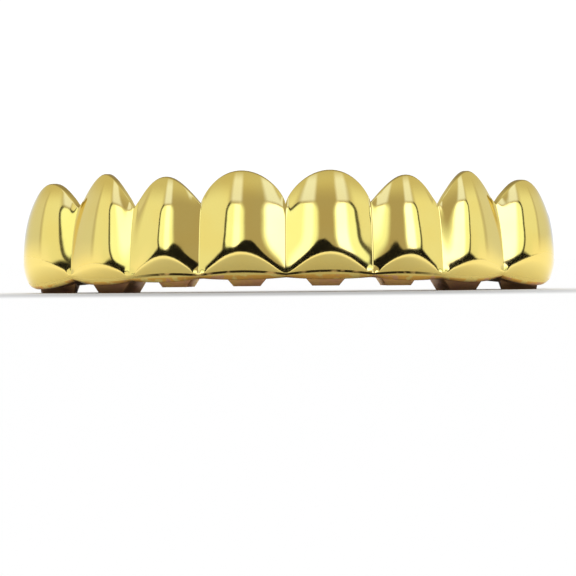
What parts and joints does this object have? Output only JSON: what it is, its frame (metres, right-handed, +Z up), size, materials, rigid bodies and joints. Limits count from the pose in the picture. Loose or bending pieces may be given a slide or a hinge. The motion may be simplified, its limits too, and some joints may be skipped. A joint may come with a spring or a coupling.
{
  "type": "tooth cover",
  "caption": "Cast, gold-plated row of tooth caps for the upper front teeth, with a channel behind, a low tongue-side wall and flat biting pads.",
  "frame": {"origin": "middle of the bounding box, on the plane of the biting pads it stands on", "axes": "+X along the row of caps, +Y from the lip side into the mouth, +Z up to the gum edge"},
  "size_m": [0.054, 0.0186, 0.0122],
  "materials": {
    "gold_plate": "mirror-polished yellow gold plating, satin inside the channel"
  },
  "bodies": {
    "root": {"tooth_cover": "gold_plate"}
  },
  "joints": []
}
